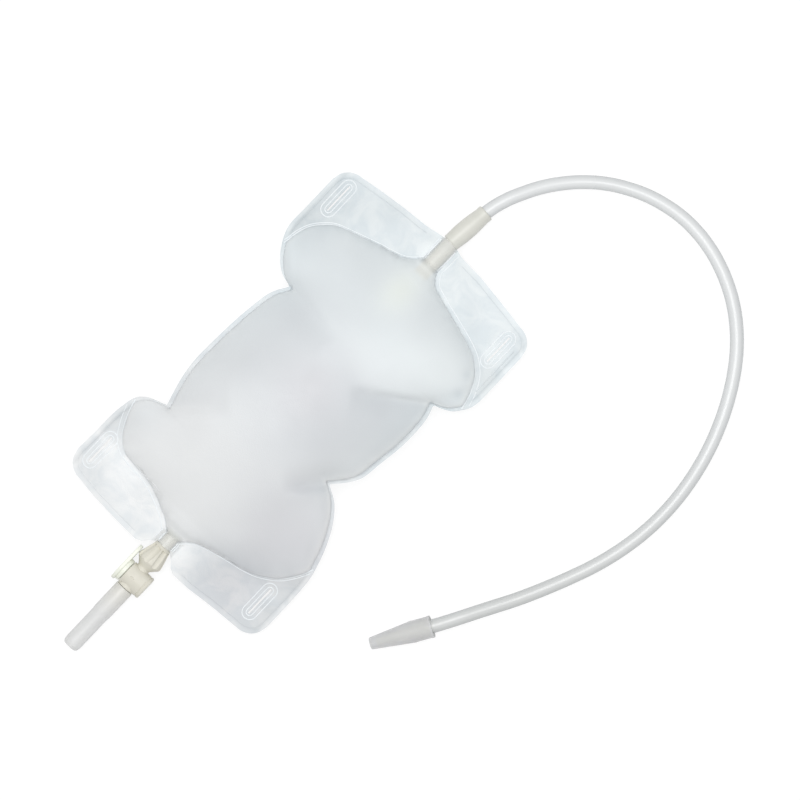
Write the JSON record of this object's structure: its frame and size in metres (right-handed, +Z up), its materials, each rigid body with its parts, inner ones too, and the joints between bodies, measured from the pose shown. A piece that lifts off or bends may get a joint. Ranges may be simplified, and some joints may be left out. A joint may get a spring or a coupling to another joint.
{
  "type": "urine drainage bag",
  "caption": "Leg-worn drainage bag of welded film with strap slots, an inlet hose ending in a capped connector, and a lever drain tap.",
  "frame": {"origin": "middle of the bag with its ports and tap, without the hose, on the surface under it", "axes": "+Y along the bag to its inlet, -Y to the drain tap, +Z up from the surface that the bag lies on, +X to the side where the hose loops"},
  "size_m": [0.2722, 0.4214, 0.0476],
  "materials": {
    "clear_film": "soft translucent film",
    "port_pvc": "soft cream plastic",
    "coupling_pvc": "soft cream plastic",
    "hose_pvc": "soft translucent hose",
    "tap_ivory": "satin moulded plastic",
    "lever_green": "satin moulded plastic",
    "spout_clear": "soft translucent hose",
    "connector_ivory": "satin moulded plastic",
    "cap_clear": "thin frosted plastic"
  },
  "bodies": {
    "bag": {"front_film": "clear_film", "back_film": "clear_film", "strap_flange_upper_left": "clear_film", "strap_flange_upper_right": "clear_film", "strap_flange_lower_left": "clear_film", "strap_flange_lower_right": "clear_film", "non_return_valve": "clear_film", "inlet_port": "port_pvc", "tube_coupling": "coupling_pvc", "inlet_tube": "hose_pvc", "catheter_connector": "connector_ivory", "protective_cap": "cap_clear", "outlet_port": "port_pvc", "tap_body": "tap_ivory", "outlet_spout": "spout_clear"},
    "lever": {"tap_lever": "lever_green"}
  },
  "joints": [
    {"name": "tap_turn", "type": "hinge", "parent": "bag", "child": "lever", "pos_m": [0, -0.118, 0.009], "axis": [1, 0, 0], "range_deg": [0, 90]}
  ]
}
